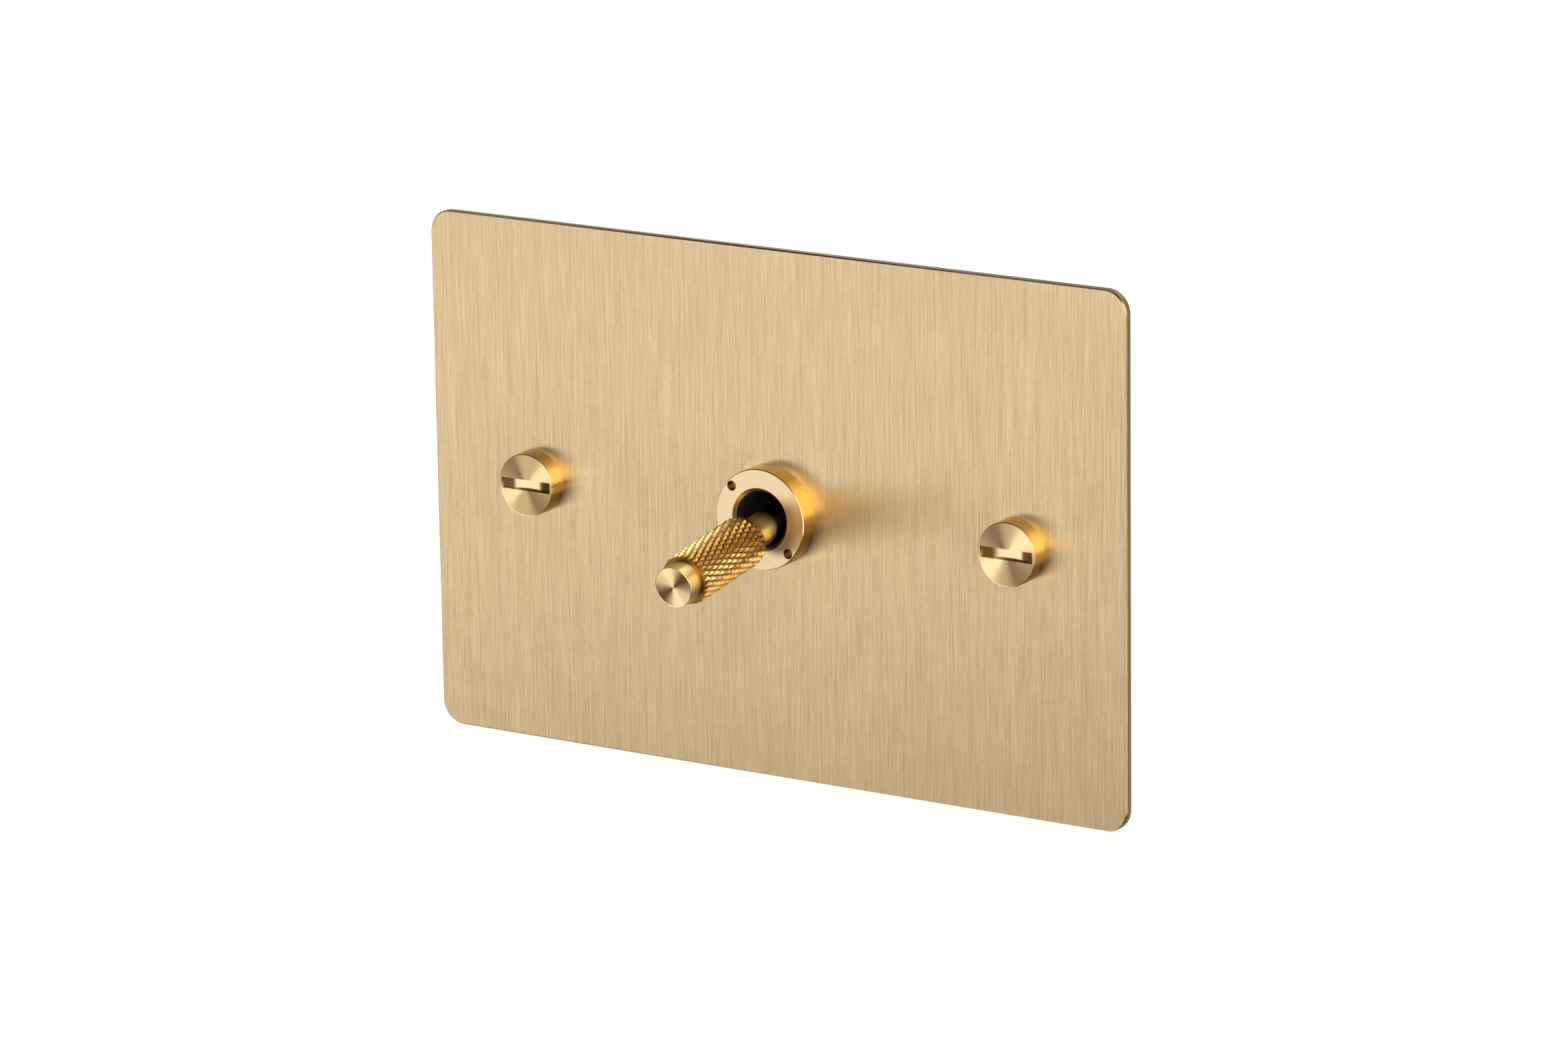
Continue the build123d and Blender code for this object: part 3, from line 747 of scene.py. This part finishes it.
def moulded_finish(name, tones, roughness):
    """Moulded insulating plastic with a fine dull grain."""
    finish, tree, shader = new_finish(name)
    marks = place_group(tree, handling_marks, Size=90.0)
    fine = surface_noise(tree, across=2600, along=2600, detail=3.0)
    tree.links.new(cloud_tones(tree, marks, tones), shader.inputs["Base Color"])
    tree.links.new(wander(tree, marks, roughness, swing=0.08), shader.inputs["Roughness"])
    raise_bump(tree, shader, fine, strength=0.3, distance=0.00003)
    shader.inputs["Specular IOR Level"].default_value = 0.45
    return finish


# Finishes of the CAD nodes by slot, each with its two tones and its roughness
finishes = {
    "brushed_brass": brushed_plate_finish(),
    "satin_brass": ring_finish(),
    # The stem takes painted shade, going black deep in the ring's mouth
    "turned_brass": turned_finish(
        "stem_brass", ((0.91, 0.60, 0.19), (0.95, 0.65, 0.23)), 0.40, shade_range=mouth_shade_depth
    ),
    "black_zinc": satin_finish(
        "black_bushing", ((0.012, 0.011, 0.010), (0.02, 0.019, 0.018)), 0.45, metallic=0.0
    ),
    "black_moulding": moulded_finish("black_moulding", ((0.014, 0.014, 0.015), (0.024, 0.024, 0.026)), 0.42),
    "plated_steel": satin_finish("zinc_steel", ((0.50, 0.51, 0.52), (0.62, 0.62, 0.60)), 0.30, relief=0.1),
    "spring_steel": satin_finish("spring_wire", ((0.42, 0.42, 0.42), (0.54, 0.53, 0.52)), 0.25),
    "terminal_brass": satin_finish("terminal_brass", ((0.66, 0.47, 0.18), (0.76, 0.57, 0.26)), 0.28),
    "contact_copper": satin_finish("contact_copper", ((0.70, 0.36, 0.22), (0.80, 0.45, 0.29)), 0.28),
    "contact_silver": satin_finish("contact_silver", ((0.56, 0.55, 0.53), (0.64, 0.63, 0.61)), 0.26),
    "plunger_nylon": moulded_finish("plunger_nylon", ((0.70, 0.68, 0.60), (0.78, 0.76, 0.69)), 0.45),
}

# Finishes of the new pieces
screw_face_brass = turned_finish("screw_face_brass", ((0.81, 0.59, 0.31), (0.86, 0.64, 0.35)), 0.42)
screw_rim_brass = turned_finish("screw_rim_brass", ((0.88, 0.57, 0.17), (0.93, 0.63, 0.21)), 0.22)
slot_brass = slot_finish()
tip_face_brass = turned_finish("tip_face_brass", ((0.76, 0.54, 0.28), (0.81, 0.59, 0.32)), 0.35, tip_marks)
tip_side_brass = turned_finish("tip_side_brass", ((0.84, 0.61, 0.25), (0.89, 0.66, 0.29)), 0.24)
knurl_brass = knurl_finish()
thread_brass = satin_finish("thread_brass", ((0.68, 0.50, 0.24), (0.76, 0.57, 0.30)), 0.28)


def dress(piece, *coats):
    """Gives a piece its finishes. The first covers it all."""
    piece.data.materials.clear()
    for coat in coats:
        piece.data.materials.append(coat)


def coat_head(head):
    """Gives the front, the slot and the rim of a screw head their own finishes."""
    dress(head, screw_face_brass, slot_brass, screw_rim_brass)
    face_coat, slot_coat, rim_coat = range(3)
    slot_top = head_front + slot_bevel / 2
    slot_side = slot_width / 2 + slot_bevel / 2
    rim_start = head_radius - head_bevel
    rim_lean = 0.5
    for face in head.data.polygons:
        place = face.center
        coat = face_coat
        if abs(place.x) < slot_length / 2 and abs(place.z) < slot_side and place.y > slot_top:
            coat = slot_coat
        elif abs(face.normal.y) < rim_lean and Vector((place.x, place.z)).length > rim_start:
            coat = rim_coat
        face.material_index = coat


for subpart in frame["record"]["subparts"]:
    dress(nodes[subpart["node"]], finishes[subpart["material_slot"]])

# Screws
head = model_screw_head()
coat_head(head)
shank = model_screw_thread()
dress(shank, thread_brass)
for side, x in (("left", -screw_spacing / 2), ("right", screw_spacing / 2)):
    for made, label in ((head, "head"), (shank, "thread")):
        piece = copy_to(made, f"screw_{label}_{side}", x)
        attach(piece, "base")
        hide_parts("fixing_screws")
scrap(head)
scrap(shank)

# Handle
for piece, finish in (
    (model_knurled_grip(), knurl_brass),
    # The shoulder lies at the groove radius, so it takes the knurl's painted groove shade
    (model_faced_disc("grip_shoulder", grip_radius - knurl_depth, grip_end + faced_proud), knurl_brass),
    (model_turned_tip(), tip_side_brass),
    (model_faced_disc("tip_face", tip_radius - tip_bevel, grip_end + tip_length), tip_face_brass),
):
    dress(piece, finish)
    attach(piece, "toggle")
    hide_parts("toggle_handle")

# Spring
spring = model_plunger_spring()
dress(spring, finishes["spring_steel"])
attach(spring, "toggle")
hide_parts("plunger_spring")
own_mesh(spring)

# Stage sizes in metres and degrees, and its colours and light
white = (1, 1, 1, 1)
floor_size = 60
floor_level = -2.2
paper_white = (0.9, 0.9, 0.9, 1)
paper_glow = 0.7
room_light = 0.5
backdrop_light = 1.0
tent_radius = 2.8
tent_half_angle = 100
tent_segments = 180
tent_rings = 90
tent_brown = (0.08, 0.045, 0.012, 1)

# Lamps: degrees to the right and up from the front, distance, width, height, power, shown in reflections
lamps = (
    ("key", 22, 15.5, 2.0, 1.85, 1.5, 25.0, True),
    ("cone_light", -14, 3, 2.0, 0.42, 0.4, 2.6, True),
    ("front_strip", -34, -12.8, 2.2, 1.78, 0.5, 4.6, True),
    ("right_side", 66, 0, 1.5, 0.42, 1.6, 9.5, True),
    ("low_left", -68, -45.5, 1.8, 1.47, 1.1, 15.8, True),
    ("fill", -70, 20, 1.6, 1.0, 1.0, 3.0, False),
    ("back", 145, 58, 1.5, 1.0, 1.0, 5.0, True),
)


# Stage

def studio_white(tree):
    """1 for rays that look at the backdrop, directly or in a reflection."""
    path = tree.nodes.new("ShaderNodeLightPath")
    seen = math_node(tree, "MAXIMUM", path.outputs["Is Camera Ray"], path.outputs["Is Glossy Ray"])
    return math_node(tree, "MAXIMUM", seen, path.outputs["Is Transmission Ray"])


def lay_floor():
    """Pale paper floor far below the switch."""
    clear_selection()
    bpy.ops.mesh.primitive_plane_add(size=floor_size, location=(0, 0, floor_level))
    floor = bpy.context.active_object
    floor.name = "floor"
    paper, tree, shader = new_finish("floor_paper")
    tree.nodes.remove(shader)
    matte = tree.nodes.new("ShaderNodeBsdfDiffuse")
    matte.inputs["Color"].default_value = paper_white
    glow = tree.nodes.new("ShaderNodeEmission")
    glow.inputs["Color"].default_value = white
    tree.links.new(math_node(tree, "MULTIPLY", studio_white(tree), paper_glow), glow.inputs["Strength"])
    both = tree.nodes.new("ShaderNodeAddShader")
    tree.links.new(matte.outputs[0], both.inputs[0])
    tree.links.new(glow.outputs[0], both.inputs[1])
    tree.links.new(both.outputs[0], tree.nodes["Material Output"].inputs["Surface"])
    paper.cycles.emission_sampling = "NONE"
    dress(floor, paper)
    floor.visible_glossy = False


def light_room():
    """White surroundings, which light the switch less than they show."""
    world = bpy.data.worlds.new("studio")
    bpy.context.scene.world = world
    world.use_nodes = True
    world.cycles.sampling_method = "NONE"
    tree = world.node_tree
    ground = tree.nodes["Background"]
    ground.inputs["Color"].default_value = white
    strength = spread(tree, studio_white(tree), room_light, backdrop_light)
    tree.links.new(strength, ground.inputs["Strength"])


def direction(azimuth, elevation):
    """Unit vector from degrees: azimuth from the front to the right, elevation upwards."""
    a, e = radians(azimuth), radians(elevation)
    return Vector((sin(a) * cos(e), -cos(a) * cos(e), sin(e)))


def softbox(name, azimuth, elevation, distance, width, height, power, mirrored):
    """Area lamp that faces the switch. Mirrored tells whether reflections show it."""
    lamp = bpy.data.lights.new(name, "AREA")
    lamp.shape = "RECTANGLE"
    lamp.size = width
    lamp.size_y = height
    lamp.energy = power
    box = bpy.data.objects.new(name, lamp)
    bpy.context.scene.collection.objects.link(box)
    box.location = direction(azimuth, elevation) * distance
    box.rotation_euler = (-box.location).to_track_quat("-Z", "Y").to_euler()
    box.visible_camera = False
    box.visible_glossy = mirrored


def hang_tent():
    """Dome of brown cloth behind the front lamps, open at the back, that only shows in reflections."""
    clear_selection()
    bpy.ops.mesh.primitive_uv_sphere_add(segments=tent_segments, ring_count=tent_rings, radius=tent_radius)
    tent = bpy.context.active_object
    tent.name = "tent"
    pick_faces(tent, lambda centre, normal: abs(degrees(atan2(centre.x, -centre.y))) > tent_half_angle)
    bpy.ops.mesh.delete(type="FACE")
    clear_selection()
    cloth, _, shader = new_finish("tent_cloth")
    shader.inputs["Base Color"].default_value = tent_brown
    shader.inputs["Roughness"].default_value = 1.0
    shader.inputs["Specular IOR Level"].default_value = 0.0
    dress(tent, cloth)
    tent.visible_camera = False
    tent.visible_shadow = False
    tent.visible_diffuse = False


lay_floor()
light_room()
for lamp in lamps:
    softbox(*lamp)
hang_tent()

# Camera at the photograph's view
camera_place = (0.538196, -0.838564, 0.254678)
camera_aim = Vector((-0.522159, 0.815716, -0.248912))
camera_roll = Quaternion((0, 0, 1), radians(-0.821))
camera = bpy.data.objects.new("camera", bpy.data.cameras.new("camera"))
bpy.context.scene.collection.objects.link(camera)
camera.data.sensor_width = 36.0
camera.data.lens = 160.66
camera.data.clip_start = 0.01
camera.location = camera_place
camera.rotation_euler = (camera_aim.to_track_quat("-Z", "Y") @ camera_roll).to_euler()
bpy.context.scene.camera = camera
bpy.context.scene.view_settings.view_transform = "Standard"

clear_selection()
